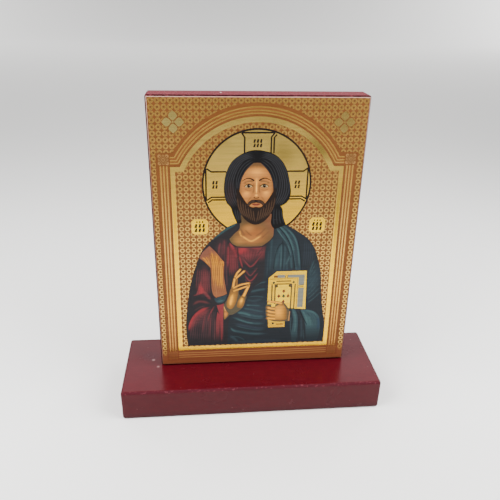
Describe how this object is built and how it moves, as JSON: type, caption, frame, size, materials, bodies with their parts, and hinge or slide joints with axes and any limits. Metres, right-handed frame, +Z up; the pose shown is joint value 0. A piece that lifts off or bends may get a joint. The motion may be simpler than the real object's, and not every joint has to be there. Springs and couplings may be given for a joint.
{
  "type": "table icon panel on a base",
  "caption": "Small upright board with a gold-ground printed picture on its front, glued on a flat lacquered base block to stand on a table or shelf.",
  "frame": {"origin": "middle of the base block's underside", "axes": "+Z up, +X to the viewer's right along the base block, the picture faces -Y"},
  "size_m": [0.1, 0.035, 0.118],
  "materials": {
    "base_lacquer": "dark red gloss lacquer on fibreboard, dusty, with small chips along the edges",
    "board_lacquer": "dark red gloss lacquer on fibreboard",
    "printed_sheet": "satin laminated print in coloured inks on gold foil"
  },
  "bodies": {
    "root": {"base_block": "base_lacquer", "panel_board": "board_lacquer", "print_sheet": "printed_sheet"}
  },
  "joints": []
}
